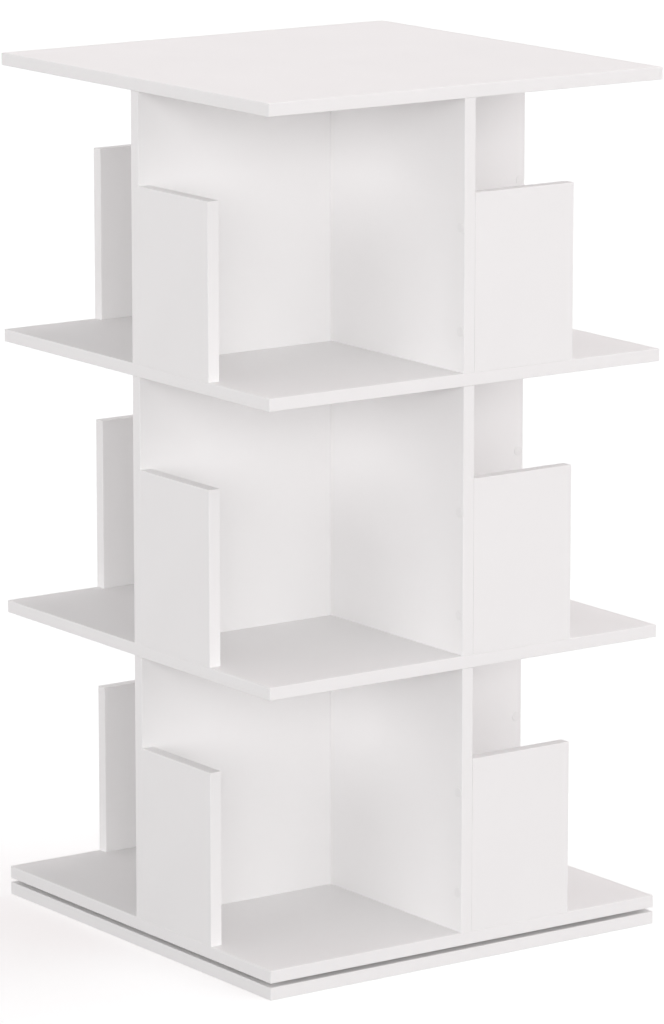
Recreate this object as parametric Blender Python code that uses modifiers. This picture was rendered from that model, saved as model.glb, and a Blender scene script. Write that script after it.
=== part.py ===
"""Three-tier revolving bookcase in white melamine-faced board.

A square base board lies on the floor and carries a ball-bearing turntable. On the turntable stands
a carousel of four square shelves. Each tier between two shelves has a cross of dividers, and at the
outer end of each arm of the cross a short wing stands across it, so that the books can't fall out.

Metres, +Z up. The origin is at the middle of the floor face, on the axis that the carousel turns on.
"""

import math
from typing import NamedTuple

import bmesh
import bpy
from mathutils import Matrix, Vector

# Boards
SIDE = 0.590
BOARD = 0.016
TIER_HEIGHT = 0.336
WING_LENGTH = 0.150
WING_HEIGHT = 0.220
EDGE_ROUNDING = 0.0006

# Room between pieces that touch
FIT_GAP = 0.0003

# Glued dowels
DOWEL_DIAMETER = 0.008
DOWEL_ROOT = 0.004
DOWEL_BACKING = 0.005
DOWEL_FROM_END = 0.048
CROSS_DOWEL_FROM_EDGE = 0.064
DOWEL_STAGGER = 0.032
DOWEL_SIDES = 8

# Capped screws that hold the wings
SCREW_DIAMETER = 0.0066
SCREW_LENGTH = 0.050
SCREW_ABOVE_WING_FOOT = 0.050
SCREW_BELOW_WING_TOP = 0.042
CAP_DIAMETER = 0.0124
CAP_RIM = 0.0006
CAP_DOME = 0.0004
SCREW_SIDES = 12

# Turntable
TURNTABLE_HEIGHT = 0.0054
RING_DIAMETER = 0.160
RING_WIDTH = 0.013
RACE_SLOT = 0.0014
RACE_LIP = 0.0006
CAGE_THICKNESS = 0.0005
BALL_COUNT = 16
BALL_SEGMENTS = 8
BALL_RINGS = 5
RING_STEPS = 44

# Turntable fasteners
FASTENERS_PER_RING = 3
BOLT_DIAMETER = 0.004
BOLT_HEAD_DIAMETER = 0.008
BOLT_HEAD_HEIGHT = 0.0026
SHELF_SCREW_DIAMETER = 0.0034
SHELF_SCREW_HEAD_DIAMETER = 0.0066
SHELF_SCREW_HEAD_HEIGHT = 0.0018
SHELF_SCREW_BITE = 0.010

# Places worked out from the sizes above
HALF = SIDE / 2
BASE_TOP = BOARD
FLOOR_OF_CAROUSEL = BASE_TOP + TURNTABLE_HEIGHT
TIER_STEP = BOARD + TIER_HEIGHT
DOWEL_REACH = BOARD - DOWEL_BACKING
RUNNING_GAP = 2 * FIT_GAP
RACE_HEIGHT = BASE_TOP + TURNTABLE_HEIGHT / 2
GROOVE_REACH = TURNTABLE_HEIGHT / 2 - RUNNING_GAP - RACE_LIP
BALL_RADIUS = GROOVE_REACH - FIT_GAP
OUTER_RING_OUTSIDE = RING_DIAMETER / 2
OUTER_RING_INSIDE = OUTER_RING_OUTSIDE - RING_WIDTH
INNER_RING_OUTSIDE = OUTER_RING_INSIDE - RACE_SLOT
INNER_RING_INSIDE = INNER_RING_OUTSIDE - RING_WIDTH
RACE_RADIUS = (OUTER_RING_INSIDE + INNER_RING_OUTSIDE) / 2
BOLT_CIRCLE = (OUTER_RING_INSIDE + OUTER_RING_OUTSIDE) / 2
SHELF_SCREW_CIRCLE = (INNER_RING_INSIDE + INNER_RING_OUTSIDE) / 2

TIER_NAMES = ("lower", "middle", "upper")
SHELF_NAMES = ("bottom_shelf", "lower_shelf", "upper_shelf", "top_panel")
UP = Vector((0, 0, 1))
SHARP_ANGLE = math.radians(35)
MERGE_DISTANCE = 0.00001


class Rod(NamedTuple):
    """A round bar between two points, for a dowel or a hole."""

    start: Vector
    end: Vector
    radius: float


class Dowel(NamedTuple):
    """A glued dowel: the point on the next board's face that it passes, and the way that it goes in."""

    mouth: Vector
    inward: Vector


class Wing(NamedTuple):
    """A book stop: the way it faces, the way it runs, and how far along that its divider's face is."""

    side: str
    divider: str
    out: Vector
    along: Vector
    face: float


WINGS = (
    Wing("left", "left_divider", Vector((-1, 0, 0)), Vector((0, -1, 0)), BOARD),
    Wing("front", "long_divider", Vector((0, -1, 0)), Vector((1, 0, 0)), BOARD / 2),
    Wing("right", "right_divider", Vector((1, 0, 0)), Vector((0, 1, 0)), 0),
    Wing("back", "long_divider", Vector((0, 1, 0)), Vector((-1, 0, 0)), BOARD / 2),
)


def clear_scene():
    """Removes whatever the scene holds."""
    for thing in list(bpy.data.objects):
        bpy.data.objects.remove(thing, do_unlink=True)


def add_collection(name):
    """A new collection in the scene."""
    collection = bpy.data.collections.new(name)
    bpy.context.scene.collection.children.link(collection)
    return collection


def add_material(name, colour, roughness, metallic=0.0):
    """A plain finish."""
    material = bpy.data.materials.new(name)
    material.use_nodes = True
    shader = material.node_tree.nodes["Principled BSDF"]
    shader.inputs["Base Color"].default_value = (*colour, 1)
    shader.inputs["Roughness"].default_value = roughness
    shader.inputs["Metallic"].default_value = metallic
    return material


clear_scene()
PARTS = add_collection("revolving_bookcase")
CUTTERS = add_collection("cutters_and_dowels")
MELAMINE = add_material("white_melamine", (0.83, 0.82, 0.81), 0.45)
CAP_PLASTIC = add_material("white_cap_plastic", (0.78, 0.77, 0.76), 0.4)
ALUMINIUM = add_material("turned_aluminium", (0.72, 0.73, 0.75), 0.35, 1.0)
RACE_PLASTIC = add_material("ball_cage_and_balls", (0.55, 0.56, 0.58), 0.3)
ZINC = add_material("zinc_plated_steel", (0.62, 0.63, 0.66), 0.35, 1.0)


def add_axis(name):
    """An empty on the turning axis, which a body's pieces hang on."""
    empty = bpy.data.objects.new(name, None)
    PARTS.objects.link(empty)
    return empty


BASE_AXIS = add_axis("base_axis")
CAROUSEL_AXIS = add_axis("carousel_axis")
RACE_AXIS = add_axis("ball_race_axis")


def mesh_from(name, working):
    """Ends a bmesh and keeps it as a mesh."""
    mesh = bpy.data.meshes.new(name)
    working.to_mesh(mesh)
    working.free()
    return mesh


def add_piece(name, mesh, material, parent, location=(0, 0, 0)):
    """Places a sub-part on its body's axis."""
    piece = bpy.data.objects.new(name, mesh)
    if not mesh.materials:
        mesh.materials.append(material)
    piece.location = location
    piece.parent = parent
    PARTS.objects.link(piece)
    return piece


def add_board(name, low, high, parent):
    """A board between two corners, with lightly rounded edges."""
    working = bmesh.new()
    bmesh.ops.create_cube(working, size=1)
    bmesh.ops.scale(working, vec=high - low, verts=working.verts)
    board = add_piece(name, mesh_from(name, working), MELAMINE, parent, (low + high) / 2)
    bevel = board.modifiers.new("edge_rounding", "BEVEL")
    bevel.width = EDGE_ROUNDING
    bevel.segments = 1
    return board


def rod_along(start, direction, length, radius):
    """A round bar from a point in a direction."""
    return Rod(start, start + direction * length, radius)


def rods_mesh(name, rods, sides):
    """One mesh that holds all the rods."""
    working = bmesh.new()
    for rod in rods:
        run = rod.end - rod.start
        turn = UP.rotation_difference(run).to_matrix().to_4x4()
        bmesh.ops.create_cone(
            working,
            cap_ends=True,
            segments=sides,
            radius1=rod.radius,
            radius2=rod.radius,
            depth=run.length,
            matrix=Matrix.Translation((rod.start + rod.end) / 2) @ turn,
        )
    return mesh_from(name, working)


def combine(piece, mesh, operation):
    """Cuts a mesh from a piece, or joins it on."""
    tool = bpy.data.objects.new(mesh.name, mesh)
    tool.hide_render = True
    tool.display_type = "WIRE"
    CUTTERS.objects.link(tool)
    boolean = piece.modifiers.new(mesh.name, "BOOLEAN")
    boolean.operation = operation
    boolean.object = tool


def drill(piece, rods, sides):
    """Cuts holes in a piece."""
    combine(piece, rods_mesh(piece.name + "_holes", rods, sides), "DIFFERENCE")


def glue_dowels(piece, dowels):
    """Joins dowels to the board whose edge they are glued into."""
    back = FIT_GAP + DOWEL_ROOT
    pegs = [
        rod_along(mouth - inward * back, inward, back + DOWEL_REACH, DOWEL_DIAMETER / 2)
        for mouth, inward in dowels
    ]
    combine(piece, rods_mesh(piece.name + "_dowels", pegs, DOWEL_SIDES), "UNION")


def drill_for_dowels(piece, dowels):
    """Cuts the blind holes that dowels go into. They start outside the board."""
    clear = DOWEL_DIAMETER / 2
    length = clear + DOWEL_REACH + FIT_GAP
    holes = [rod_along(mouth - inward * clear, inward, length, clear + FIT_GAP) for mouth, inward in dowels]
    drill(piece, holes, DOWEL_SIDES)


def turned_mesh(name, profile, steps, closed=False):
    """A turned shape. Its profile is radius and height, from the top down its outer side."""
    working = bmesh.new()
    corners = [working.verts.new((radius, 0, height)) for radius, height in profile]
    for first, second in zip(corners, corners[1:]):
        working.edges.new((first, second))
    if closed:
        working.edges.new((corners[-1], corners[0]))
    guide = bpy.data.objects.new(name, mesh_from(name + "_profile", working))
    CUTTERS.objects.link(guide)
    screw = guide.modifiers.new("turn", "SCREW")
    screw.steps = steps
    screw.render_steps = steps
    screw.use_merge_vertices = True
    screw.merge_threshold = MERGE_DISTANCE
    graph = bpy.context.evaluated_depsgraph_get()
    mesh = bpy.data.meshes.new_from_object(guide.evaluated_get(graph))
    mesh.name = name
    bpy.data.objects.remove(guide, do_unlink=True)
    mesh.shade_smooth()
    mesh.set_sharp_from_angle(angle=SHARP_ANGLE)
    return mesh


def copies_mesh(name, mesh, places):
    """One mesh that holds a copy of another at each place."""
    working = bmesh.new()
    for place in places:
        first = len(working.verts)
        working.from_mesh(mesh)
        working.verts.ensure_lookup_table()
        bmesh.ops.translate(working, vec=place, verts=working.verts[first:])
    return mesh_from(name, working)


# Where the pieces stand


def shelf_underside(level):
    """Height of a shelf's underside, counted from the bottom shelf."""
    return FLOOR_OF_CAROUSEL + level * TIER_STEP


def tier_floor(tier):
    """Height of the shelf face that a tier stands on."""
    return shelf_underside(tier) + BOARD


def divider_spans():
    """Each divider's corners in plan: one long board, and a half board on either side of it.

    The half dividers have their back faces on the middle line.
    """
    root = BOARD / 2 + FIT_GAP
    return {
        "long_divider": (Vector((-BOARD / 2, -HALF)), Vector((BOARD / 2, HALF))),
        "left_divider": (Vector((-HALF, -BOARD)), Vector((-root, 0))),
        "right_divider": (Vector((root, -BOARD)), Vector((HALF, 0))),
    }


def divider_dowel_places(stagger=0):
    """Each divider's dowels in plan, on the middle of its thickness.

    Those of a foot and of a head are staggered, so that they don't meet in the shelf between.
    """
    outer = HALF - DOWEL_FROM_END - stagger
    inner = BOARD / 2 + FIT_GAP + DOWEL_FROM_END + stagger
    half_line = -BOARD / 2
    return {
        "long_divider": [Vector((0, y)) for y in (-outer, stagger, outer)],
        "left_divider": [Vector((x, half_line)) for x in (-outer, -inner)],
        "right_divider": [Vector((x, half_line)) for x in (inner, outer)],
    }


def wing_centre(wing):
    """Middle of a wing in plan."""
    return wing.out * (HALF - BOARD / 2) + wing.along * (wing.face + FIT_GAP + WING_LENGTH / 2)


def wing_screw_heights(tier):
    """Heights of a wing's two screws."""
    foot = tier_floor(tier) + FIT_GAP
    return (foot + SCREW_ABOVE_WING_FOOT, foot + WING_HEIGHT - SCREW_BELOW_WING_TOP)


def cross_dowel_heights(tier, divider):
    """Heights of the dowels between a half divider and the long one, staggered left to right."""
    stagger = DOWEL_STAGGER if divider == "right_divider" else 0
    from_edge = CROSS_DOWEL_FROM_EDGE + stagger
    return (tier_floor(tier) + from_edge, tier_floor(tier) + TIER_HEIGHT - from_edge)


def ring_places(radius, height):
    """Evenly spaced fastener places on a circle."""
    turns = [2 * math.pi * (step + 0.25) / FASTENERS_PER_RING for step in range(FASTENERS_PER_RING)]
    return [Vector((radius * math.cos(turn), radius * math.sin(turn), height)) for turn in turns]


# Holes and dowels


def foot_dowels(tier):
    """The dowels under each upright of a tier, by the upright's name."""
    places = divider_dowel_places()
    places.update({f"{wing.side}_wing": [wing_centre(wing)] for wing in WINGS})
    floor = UP * tier_floor(tier)
    return {name: [Dowel(place.to_3d() + floor, -UP) for place in group] for name, group in places.items()}


def head_dowels(tier):
    """The dowels on top of each divider of a tier, by the divider's name."""
    places = divider_dowel_places(DOWEL_STAGGER)
    ceiling = UP * (tier_floor(tier) + TIER_HEIGHT)
    return {name: [Dowel(place.to_3d() + ceiling, UP) for place in group] for name, group in places.items()}


def shelf_dowels(level):
    """The dowels that come into a shelf, from the tier above it and from the tier below."""
    above = foot_dowels(level) if level < len(TIER_NAMES) else {}
    below = head_dowels(level - 1) if level > 0 else {}
    return [dowel for groups in (above, below) for group in groups.values() for dowel in group]


def cross_dowels(tier, divider):
    """The dowels from a half divider's end into the long divider."""
    inward = Vector((1, 0, 0)) if divider == "left_divider" else Vector((-1, 0, 0))
    mouth = -inward * (BOARD / 2) + Vector((0, -BOARD / 2, 0))
    return [Dowel(mouth + UP * height, inward) for height in cross_dowel_heights(tier, divider)]


def wing_screw_starts(wing, tier):
    """The points under a wing's screw caps, on the far face of its divider."""
    start = wing.out * (HALF - BOARD / 2) + wing.along * (wing.face - BOARD)
    return [start + UP * height for height in wing_screw_heights(tier)]


def wing_screw_holes(wing, tier):
    """Holes for a wing's screws, through its divider and into its own end."""
    radius = SCREW_DIAMETER / 2 + FIT_GAP
    spare = wing.along * BOARD / 4
    length = SCREW_LENGTH + BOARD / 4 + FIT_GAP
    return [rod_along(start - spare, wing.along, length, radius) for start in wing_screw_starts(wing, tier)]


# Boards


def make_base_board():
    """The board on the floor, with a counterbored hole for each bolt of the turntable."""
    low = Vector((-HALF, -HALF, 0))
    board = add_board("base_board", low, Vector((HALF, HALF, BASE_TOP)), BASE_AXIS)
    bolt = BOLT_DIAMETER / 2 + FIT_GAP
    head = BOLT_HEAD_DIAMETER / 2 + FIT_GAP
    sink = BOLT_HEAD_HEIGHT + 2 * FIT_GAP
    above = BASE_TOP + BOARD / 2
    below = -BOARD / 2
    profile = [(0, above), (bolt, above), (bolt, sink), (head, sink), (head, below), (0, below)]
    hole = turned_mesh("bolt_hole", profile, SCREW_SIDES)
    holes = copies_mesh("base_board_holes", hole, ring_places(BOLT_CIRCLE, 0))
    combine(board, holes, "DIFFERENCE")


def make_shelves():
    """The four shelves of the carousel, with the holes for the uprights' dowels."""
    for level, name in enumerate(SHELF_NAMES):
        underside = shelf_underside(level)
        low = Vector((-HALF, -HALF, underside))
        shelf = add_board(name, low, Vector((HALF, HALF, underside + BOARD)), CAROUSEL_AXIS)
        drill_for_dowels(shelf, shelf_dowels(level))
        if level == 0:
            radius = SHELF_SCREW_DIAMETER / 2 + FIT_GAP
            depth = BOARD / 2 + SHELF_SCREW_BITE + FIT_GAP
            mouths = ring_places(SHELF_SCREW_CIRCLE, underside - BOARD / 2)
            drill(shelf, [rod_along(mouth, UP, depth, radius) for mouth in mouths], SCREW_SIDES)


def make_dividers(tier, tier_name):
    """A tier's cross: a long divider with a half divider doweled to each side of it."""
    foot = tier_floor(tier) + FIT_GAP
    head = tier_floor(tier) + TIER_HEIGHT - FIT_GAP
    for name, (low, high) in divider_spans().items():
        divider = add_board(
            f"{tier_name}_{name}", Vector((*low, foot)), Vector((*high, head)), CAROUSEL_AXIS
        )
        dowels = foot_dowels(tier)[name] + head_dowels(tier)[name]
        if name == "long_divider":
            crossing = cross_dowels(tier, "left_divider") + cross_dowels(tier, "right_divider")
            drill_for_dowels(divider, crossing)
        else:
            dowels += cross_dowels(tier, name)
        glue_dowels(divider, dowels)
        screw_holes = [
            hole for wing in WINGS if wing.divider == name for hole in wing_screw_holes(wing, tier)
        ]
        combine(divider, rods_mesh(divider.name + "_screw_holes", screw_holes, SCREW_SIDES), "DIFFERENCE")


def make_wings(tier, tier_name):
    """A tier's four wings, each flush with the shelves' edge and butted on its divider."""
    foot = tier_floor(tier) + FIT_GAP
    for wing in WINGS:
        half_size = (wing.out * BOARD + wing.along * WING_LENGTH) / 2
        half_size = Vector((abs(half_size.x), abs(half_size.y), WING_HEIGHT / 2))
        centre = wing_centre(wing) + UP * (foot + WING_HEIGHT / 2)
        name = f"{tier_name}_{wing.side}_wing"
        board = add_board(name, centre - half_size, centre + half_size, CAROUSEL_AXIS)
        glue_dowels(board, foot_dowels(tier)[f"{wing.side}_wing"])
        screw_holes = rods_mesh(name + "_screw_holes", wing_screw_holes(wing, tier), SCREW_SIDES)
        combine(board, screw_holes, "DIFFERENCE")


def make_wing_screws(tier, tier_name, mesh):
    """The capped screws that hold a tier's wings, two to a wing."""
    for wing in WINGS:
        for where, start in zip(("low", "high"), wing_screw_starts(wing, tier)):
            name = f"{tier_name}_{wing.side}_wing_screw_{where}"
            screw = add_piece(name, mesh, CAP_PLASTIC, CAROUSEL_AXIS, start)
            screw.rotation_mode = "QUATERNION"
            screw.rotation_quaternion = (-UP).rotation_difference(wing.along)


def wing_screw_mesh():
    """A screw under its cap, standing on its tip, with the board's face at height zero."""
    cap = CAP_DIAMETER / 2
    shank = SCREW_DIAMETER / 2
    rim = FIT_GAP + CAP_RIM
    profile = [
        (0, rim + CAP_DOME),
        (cap, rim),
        (cap, FIT_GAP),
        (shank, FIT_GAP),
        (shank, shank - SCREW_LENGTH),
        (0, -SCREW_LENGTH),
    ]
    return turned_mesh("wing_screw", profile, SCREW_SIDES)


# Turntable


def ring_section(inside, outside, bottom, top, groove_outward):
    """A ring's section, with a ball groove in the side that faces the other ring."""
    depth = GROOVE_REACH - RACE_SLOT / 2
    face = outside if groove_outward else inside
    bed = face - depth if groove_outward else face + depth
    groove = [
        (face, RACE_HEIGHT + GROOVE_REACH),
        (bed, RACE_HEIGHT + GROOVE_REACH / 2),
        (bed, RACE_HEIGHT - GROOVE_REACH / 2),
        (face, RACE_HEIGHT - GROOVE_REACH),
    ]
    if groove_outward:
        return [(outside, top), *groove, (outside, bottom), (inside, bottom), (inside, top)]
    return [(outside, top), (outside, bottom), (inside, bottom), *reversed(groove), (inside, top)]


def make_outer_ring():
    """The turntable's still ring, bolted to the base board from below."""
    bottom = BASE_TOP + FIT_GAP
    top = FLOOR_OF_CAROUSEL - RUNNING_GAP
    section = ring_section(OUTER_RING_INSIDE, OUTER_RING_OUTSIDE, bottom, top, False)
    mesh = turned_mesh("turntable_outer_ring", section, RING_STEPS, closed=True)
    ring = add_piece("turntable_outer_ring", mesh, ALUMINIUM, BASE_AXIS)
    radius = BOLT_DIAMETER / 2 + FIT_GAP
    mouths = ring_places(BOLT_CIRCLE, BASE_TOP - TURNTABLE_HEIGHT)
    drill(ring, [rod_along(mouth, UP, 3 * TURNTABLE_HEIGHT, radius) for mouth in mouths], SCREW_SIDES)


def make_inner_ring():
    """The turntable's turning ring, screwed up into the bottom shelf through countersunk holes."""
    bottom = BASE_TOP + RUNNING_GAP
    top = FLOOR_OF_CAROUSEL - FIT_GAP
    section = ring_section(INNER_RING_INSIDE, INNER_RING_OUTSIDE, bottom, top, True)
    mesh = turned_mesh("turntable_inner_ring", section, RING_STEPS, closed=True)
    ring = add_piece("turntable_inner_ring", mesh, ALUMINIUM, CAROUSEL_AXIS)
    shank = SHELF_SCREW_DIAMETER / 2 + FIT_GAP
    head = SHELF_SCREW_HEAD_DIAMETER / 2 + FIT_GAP
    slope = (head - shank) / SHELF_SCREW_HEAD_HEIGHT
    above = top + TURNTABLE_HEIGHT
    neck = bottom + FIT_GAP + SHELF_SCREW_HEAD_HEIGHT
    below = bottom - FIT_GAP
    mouth = shank + slope * (neck - below)
    profile = [(0, above), (shank, above), (shank, neck), (mouth, below), (0, below)]
    hole = turned_mesh("countersunk_hole", profile, SCREW_SIDES)
    holes = copies_mesh("turntable_inner_ring_holes", hole, ring_places(SHELF_SCREW_CIRCLE, 0))
    combine(ring, holes, "DIFFERENCE")


def make_ball_ring():
    """The thin cage between the rings, with the balls that it holds."""
    inside = RACE_RADIUS - CAGE_THICKNESS / 2
    outside = RACE_RADIUS + CAGE_THICKNESS / 2
    bottom = RACE_HEIGHT - GROOVE_REACH
    top = RACE_HEIGHT + GROOVE_REACH
    band = [(outside, top), (outside, bottom), (inside, bottom), (inside, top)]
    mesh = turned_mesh("turntable_ball_ring", band, RING_STEPS, closed=True)
    ring = add_piece("turntable_ball_ring", mesh, RACE_PLASTIC, RACE_AXIS)
    working = bmesh.new()
    for step in range(BALL_COUNT):
        turn = 2 * math.pi * (step + 0.5) / BALL_COUNT
        place = Vector((RACE_RADIUS * math.cos(turn), RACE_RADIUS * math.sin(turn), RACE_HEIGHT))
        bmesh.ops.create_uvsphere(
            working,
            u_segments=BALL_SEGMENTS,
            v_segments=BALL_RINGS,
            radius=BALL_RADIUS,
            matrix=Matrix.Translation(place),
        )
    combine(ring, mesh_from("balls", working), "UNION")


def make_base_bolts():
    """Bolts from under the base board into the outer ring, with sunk pan heads."""
    head = BOLT_HEAD_DIAMETER / 2
    shank = BOLT_DIAMETER / 2
    tip = FLOOR_OF_CAROUSEL - RUNNING_GAP - FIT_GAP
    under_head = FIT_GAP + BOLT_HEAD_HEIGHT
    profile = [(0, tip), (shank, tip), (shank, under_head), (head, under_head), (head, FIT_GAP), (0, FIT_GAP)]
    mesh = turned_mesh("base_bolt", profile, SCREW_SIDES)
    for number, place in enumerate(ring_places(BOLT_CIRCLE, 0), start=1):
        add_piece(f"base_bolt_{number}", mesh, ZINC, BASE_AXIS, place)


def make_shelf_screws():
    """Countersunk screws from under the inner ring into the bottom shelf."""
    head = SHELF_SCREW_HEAD_DIAMETER / 2
    shank = SHELF_SCREW_DIAMETER / 2
    bottom = BASE_TOP + RUNNING_GAP + FIT_GAP
    neck = bottom + SHELF_SCREW_HEAD_HEIGHT
    tip = FLOOR_OF_CAROUSEL + SHELF_SCREW_BITE
    profile = [(0, tip), (shank, tip - shank), (shank, neck), (head, bottom), (0, bottom)]
    mesh = turned_mesh("shelf_screw", profile, SCREW_SIDES)
    for number, place in enumerate(ring_places(SHELF_SCREW_CIRCLE, 0), start=1):
        add_piece(f"shelf_screw_{number}", mesh, ZINC, CAROUSEL_AXIS, place)


def main():
    """Builds the bookcase from the floor up."""
    make_base_board()
    make_outer_ring()
    make_base_bolts()
    make_ball_ring()
    make_inner_ring()
    make_shelf_screws()
    make_shelves()
    screw_mesh = wing_screw_mesh()
    for tier, tier_name in enumerate(TIER_NAMES):
        make_dividers(tier, tier_name)
        make_wings(tier, tier_name)
        make_wing_screws(tier, tier_name, screw_mesh)


main()
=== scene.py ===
"""Looks of a white three-tier revolving bookcase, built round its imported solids.

Every board is made anew with banded, rounded edges, every screw with its cap, and the turntable in the
slot with its turned rings, cage and balls. The finishes share a few effects, which are node groups.

Metres, +Z up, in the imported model's own frame: the origin is on the floor, on the turning axis.
"""

import logging
import math
from collections.abc import Iterable, Mapping, Sequence
from dataclasses import dataclass, field
from enum import Enum
from typing import ClassVar

import bmesh
import bpy
from mathutils import Matrix, Vector

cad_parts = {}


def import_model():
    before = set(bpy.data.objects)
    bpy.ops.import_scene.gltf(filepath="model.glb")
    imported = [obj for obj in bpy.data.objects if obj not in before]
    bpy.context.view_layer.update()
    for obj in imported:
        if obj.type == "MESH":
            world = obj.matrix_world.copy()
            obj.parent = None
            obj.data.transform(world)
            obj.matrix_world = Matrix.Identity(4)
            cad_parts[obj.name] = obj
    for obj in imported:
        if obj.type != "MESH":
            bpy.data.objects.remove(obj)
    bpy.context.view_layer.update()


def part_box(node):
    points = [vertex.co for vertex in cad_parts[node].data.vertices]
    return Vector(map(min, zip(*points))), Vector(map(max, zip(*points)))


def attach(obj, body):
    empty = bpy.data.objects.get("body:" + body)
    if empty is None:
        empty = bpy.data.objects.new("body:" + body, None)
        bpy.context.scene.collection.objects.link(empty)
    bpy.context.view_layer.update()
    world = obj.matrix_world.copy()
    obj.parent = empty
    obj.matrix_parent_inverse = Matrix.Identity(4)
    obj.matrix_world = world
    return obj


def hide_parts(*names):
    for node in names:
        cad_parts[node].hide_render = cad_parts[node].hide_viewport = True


LOG = logging.getLogger("bookcase")
FIT_GAP = 0.0003
WHITE = (1.0, 1.0, 1.0)
UP = Vector((0, 0, 1))
LEFT_TO_RIGHT = Vector((1, 0, 0))

Colour = tuple[float, float, float]
Profile = list[tuple[float, float]]
Corners = tuple[Vector, Vector]
Sockets = dict[str, bpy.types.NodeSocket]


class Body(Enum):
    """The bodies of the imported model."""

    BASE = "base"
    RACE = "ball_race"
    CAROUSEL = "carousel"


class Slot(Enum):
    """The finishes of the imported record."""

    MELAMINE = "white_melamine"
    SCREW = "capped_screw"
    ALUMINIUM = "turned_aluminium"
    CAGE = "ball_cage"
    STEEL = "zinc_steel"


class BoardPart(Enum):
    """The material places of a board's mesh."""

    SHEET = 0
    BAND = 1
    CORE = 2


class TierName(Enum):
    """The three tiers, each with the shelf that it stands on and the shelf that it carries."""

    LOWER = ("lower", "bottom_shelf", "lower_shelf")
    MIDDLE = ("middle", "lower_shelf", "upper_shelf")
    UPPER = ("upper", "upper_shelf", "top_panel")

    def __init__(self, label: str, shelf_below: str, shelf_above: str) -> None:
        """Names the parts of a tier's value."""
        self.label, self.shelf_below, self.shelf_above = label, shelf_below, shelf_above


class WingSide(Enum):
    """The wings of a tier, each with its divider and the way that its screws go."""

    LEFT = ("left", "left_divider", (0, -1, 0))
    FRONT = ("front", "long_divider", (1, 0, 0))
    RIGHT = ("right", "right_divider", (0, 1, 0))
    BACK = ("back", "long_divider", (-1, 0, 0))

    def __init__(self, label: str, divider: str, screws_go: tuple[int, int, int]) -> None:
        """Names the parts of a wing's value."""
        self.label, self.divider, self.screws_go = label, divider, Vector(screws_go)

    @property
    def axis(self) -> int:
        """The axis that its screws lie along."""
        return 0 if self.screws_go.x else 1

    @property
    def onward(self) -> bool:
        """Whether its screws go up that axis, not down it."""
        return self.screws_go[self.axis] > 0


# Shader trees


class NodeBench:
    """Places nodes in one shader tree and joins them."""

    COLOUR_MIX: ClassVar[tuple[int, int, int]] = (0, 6, 7)
    COLOUR_RESULT: ClassVar[int] = 2
    NOISE_RANGE: ClassVar[tuple[float, float]] = (0.3, 0.7)

    def __init__(self, tree: bpy.types.NodeTree) -> None:
        """Takes a tree and empties it."""
        self.tree = tree
        tree.nodes.clear()

    def feed(self, socket: bpy.types.NodeSocket, value: object) -> None:
        """Joins an input to an output, or sets its plain value.

        Args:
            socket: the input.
            value: an output, a number, or three numbers for a colour.
        """
        if isinstance(value, bpy.types.NodeSocket):
            self.tree.links.new(value, socket)
        elif socket.type == "RGBA":
            socket.default_value = (*value, 1.0)
        else:
            socket.default_value = value

    def put(
        self, kind: str, settings: Mapping[str, object] | None = None, **inputs: object
    ) -> bpy.types.Node:
        """Adds a node and fills its inputs.

        Args:
            kind: the node's type.
            settings: the node's own properties.
            **inputs: outputs or plain values by input name, with _ for a space.

        Returns:
            The new node.
        """
        node = self.tree.nodes.new(kind)
        for name, value in (settings or {}).items():
            setattr(node, name, value)
        for name, value in inputs.items():
            self.feed(node.inputs[name.replace("_", " ")], value)
        return node

    def join(self, kind: str, *values: object, **settings: object) -> bpy.types.Node:
        """Adds a node and fills its inputs in order.

        Args:
            kind: the node's type.
            *values: outputs or plain values, from the first input on.
            **settings: the node's own properties.

        Returns:
            The new node.
        """
        node = self.put(kind, settings)
        for socket, value in zip(node.inputs, values):
            self.feed(socket, value)
        return node

    def math(self, operation: str, first: object, second: object) -> bpy.types.NodeSocket:
        """Works out one value from two."""
        return self.join("ShaderNodeMath", first, second, operation=operation).outputs[0]

    def blend(self, share: object, first: object, second: object) -> bpy.types.NodeSocket:
        """Mixes two colours.

        Args:
            share: how much of the second colour shows.
            first: the first colour.
            second: the second colour.

        Returns:
            The mixed colour.
        """
        node = self.put("ShaderNodeMix", {"data_type": "RGBA"})
        for place, value in zip(self.COLOUR_MIX, (share, first, second)):
            self.feed(node.inputs[place], value)
        return node.outputs[self.COLOUR_RESULT]

    def spread(self, value: object, low: object, high: object) -> bpy.types.NodeSocket:
        """Spreads a noise's usual range over another range.

        Args:
            value: the noise.
            low: what its usual least becomes.
            high: what its usual most becomes.

        Returns:
            The spread value.
        """
        least, most = self.NOISE_RANGE
        return self.join("ShaderNodeMapRange", value, least, most, low, high).outputs["Result"]

    def place(self) -> bpy.types.NodeSocket:
        """The place on the piece, in the piece's own coordinates."""
        return self.put("ShaderNodeTexCoord").outputs["Object"]

    def noise(self, scale: object, detail: float = 2.0) -> bpy.types.NodeSocket:
        """Noise with its scale in patches to the metre."""
        return self.put("ShaderNodeTexNoise", Vector=self.place(), Scale=scale, Detail=detail).outputs[0]


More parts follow.
